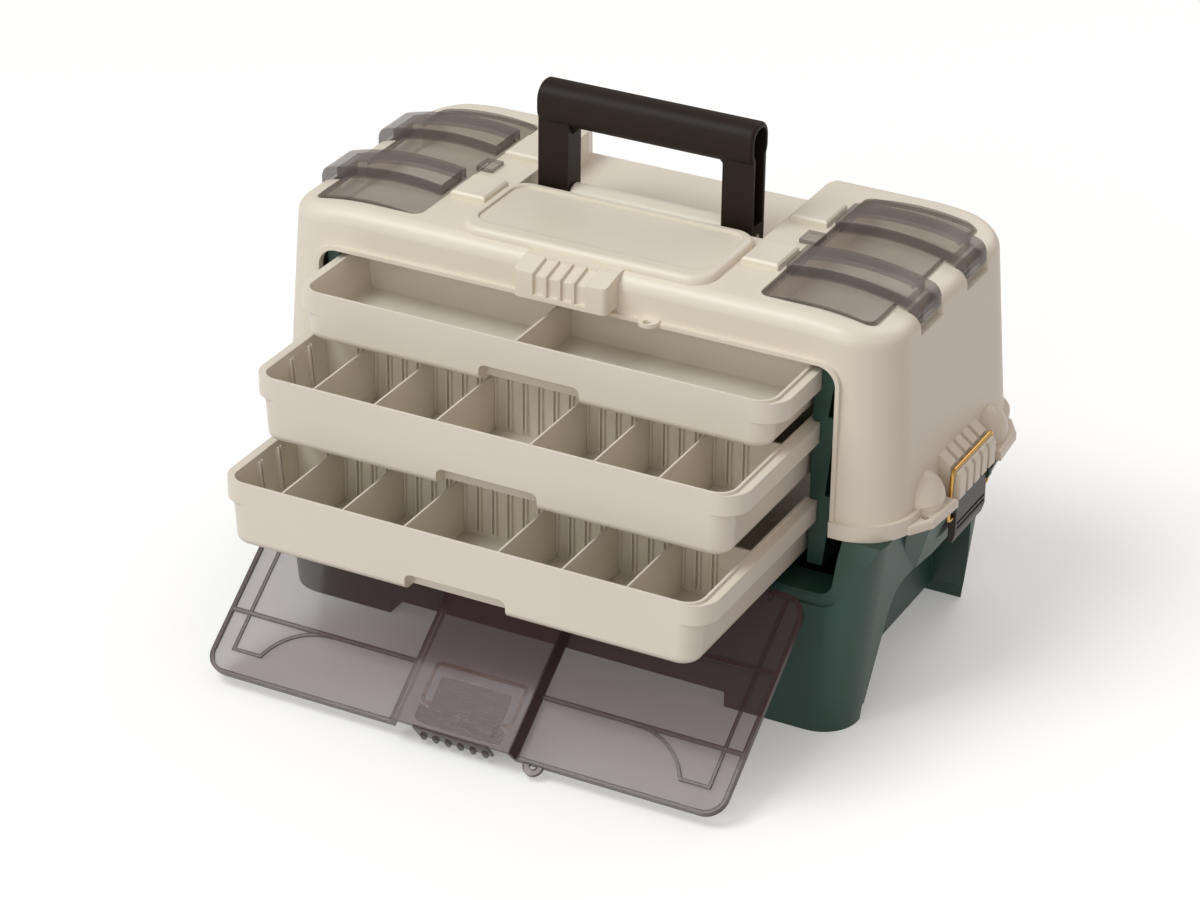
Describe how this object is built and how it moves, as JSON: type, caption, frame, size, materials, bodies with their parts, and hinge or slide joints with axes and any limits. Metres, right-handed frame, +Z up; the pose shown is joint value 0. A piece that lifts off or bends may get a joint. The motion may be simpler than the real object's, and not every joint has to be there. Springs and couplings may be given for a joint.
{
  "type": "tackle box",
  "caption": "Tackle box: tub base with a lift-off housing for sliding divided drawers, drop-down front door, lidded top bins, folding handle and wire-bail side latches.",
  "frame": {"origin": "on the ground, under the middle of the box that holds the whole object as pictured, with drawers and door out", "axes": "+Z up, +X to the right of someone facing the front, front towards -Y"},
  "size_m": [0.528, 0.412, 0.3825],
  "materials": {
    "green_plastic": "satin",
    "cream_plastic": "satin",
    "tray_plastic": "satin",
    "smoke_plastic": "translucent smoke",
    "dark_plastic": "satin",
    "latch_plastic": "satin",
    "brass_wire": "polished",
    "steel_pin": "brushed"
  },
  "bodies": {
    "base": {"base_tub": "green_plastic", "side_latch_pin_left": "steel_pin", "side_latch_pin_right": "steel_pin", "door_pin_left": "steel_pin", "door_pin_right": "steel_pin"},
    "cover": {"cover_shell": "cream_plastic", "drawer_frame_left": "green_plastic", "drawer_frame_right": "green_plastic", "handle_pin_left": "steel_pin", "handle_pin_right": "steel_pin", "lid_pin_left_front": "steel_pin", "lid_pin_left_rear": "steel_pin", "lid_pin_right_front": "steel_pin", "lid_pin_right_rear": "steel_pin", "lure_bin_left": "cream_plastic", "lure_bin_right": "cream_plastic"},
    "top_drawer": {"drawer_top": "tray_plastic"},
    "middle_drawer": {"drawer_middle": "tray_plastic", "divider_middle_1": "tray_plastic", "divider_middle_2": "tray_plastic", "divider_middle_3": "tray_plastic", "divider_middle_4": "tray_plastic", "divider_middle_5": "tray_plastic", "divider_middle_6": "tray_plastic"},
    "bottom_drawer": {"drawer_bottom": "tray_plastic", "divider_bottom_1": "tray_plastic", "divider_bottom_2": "tray_plastic", "divider_bottom_3": "tray_plastic", "divider_bottom_4": "tray_plastic", "divider_bottom_5": "tray_plastic", "divider_bottom_6": "tray_plastic"},
    "left_lid": {"lid_left": "smoke_plastic"},
    "right_lid": {"lid_right": "smoke_plastic"},
    "carry_handle": {"handle": "dark_plastic"},
    "door": {"front_door": "smoke_plastic", "door_latch_pin": "steel_pin"},
    "door_lever": {"door_latch": "latch_plastic"},
    "door_bail": {"door_bail": "brass_wire"},
    "left_lever": {"side_latch_left": "latch_plastic"},
    "right_lever": {"side_latch_right": "latch_plastic"},
    "left_bail": {"side_bail_left": "brass_wire"},
    "right_bail": {"side_bail_right": "brass_wire"}
  },
  "joints": [
    {"name": "upper_lift", "type": "slide", "parent": "base", "child": "cover", "axis": [0, 0, 1], "range_m": [0, 0.15]},
    {"name": "right_lever_pivot", "type": "hinge", "parent": "base", "child": "right_lever", "pos_m": [0.2555, 0.08552, 0.14], "axis": [0, -1, 0], "range_deg": [0, 100]},
    {"name": "left_lever_pivot", "type": "hinge", "parent": "base", "child": "left_lever", "pos_m": [-0.2555, 0.08552, 0.14], "axis": [0, 1, 0], "range_deg": [0, 100]},
    {"name": "right_bail_pivot", "type": "hinge", "parent": "right_lever", "child": "right_bail", "pos_m": [0.2555, 0.08552, 0.13], "axis": [0, 1, 0], "range_deg": [0, 210]},
    {"name": "left_bail_pivot", "type": "hinge", "parent": "left_lever", "child": "left_bail", "pos_m": [-0.2555, 0.08552, 0.13], "axis": [0, -1, 0], "range_deg": [0, 210]},
    {"name": "top_drawer_slide", "type": "slide", "parent": "cover", "child": "top_drawer", "axis": [0, -1, 0], "range_m": [-0.0705, 0.1035]},
    {"name": "middle_drawer_slide", "type": "slide", "parent": "cover", "child": "middle_drawer", "axis": [0, -1, 0], "range_m": [-0.13, 0.044]},
    {"name": "bottom_drawer_slide", "type": "slide", "parent": "cover", "child": "bottom_drawer", "axis": [0, -1, 0], "range_m": [-0.174, 0]},
    {"name": "right_lid_hinge", "type": "hinge", "parent": "cover", "child": "right_lid", "pos_m": [0.231, 0.08002, 0.2895], "axis": [0, 1, 0], "range_deg": [0, 100]},
    {"name": "left_lid_hinge", "type": "hinge", "parent": "cover", "child": "left_lid", "pos_m": [-0.231, 0.08002, 0.2895], "axis": [0, -1, 0], "range_deg": [0, 100]},
    {"name": "handle_fold", "type": "hinge", "parent": "cover", "child": "carry_handle", "pos_m": [0, 0.08752, 0.295], "axis": [-1, 0, 0], "range_deg": [0, 90]},
    {"name": "door_hinge", "type": "hinge", "parent": "base", "child": "door", "pos_m": [0, -0.05948, 0.104], "axis": [-1, 0, 0], "range_deg": [0, 25]},
    {"name": "door_lever_pivot", "type": "hinge", "parent": "door", "child": "door_lever", "pos_m": [0, -0.18988, 0.01785], "axis": [-1, 0, 0], "range_deg": [0, 55]},
    {"name": "door_bail_pivot", "type": "hinge", "parent": "door_lever", "child": "door_bail", "pos_m": [0, -0.18188, 0.02386], "axis": [-1, 0, 0], "range_deg": [0, 55]}
  ],
  "couplings": [
    {"joint": "right_lever_pivot", "follows": "upper_lift", "rad_per_m": 11.635},
    {"joint": "right_bail_pivot", "follows": "upper_lift", "rad_per_m": 24.435},
    {"joint": "left_lever_pivot", "follows": "upper_lift", "rad_per_m": 11.635},
    {"joint": "left_bail_pivot", "follows": "upper_lift", "rad_per_m": 24.435}
  ]
}
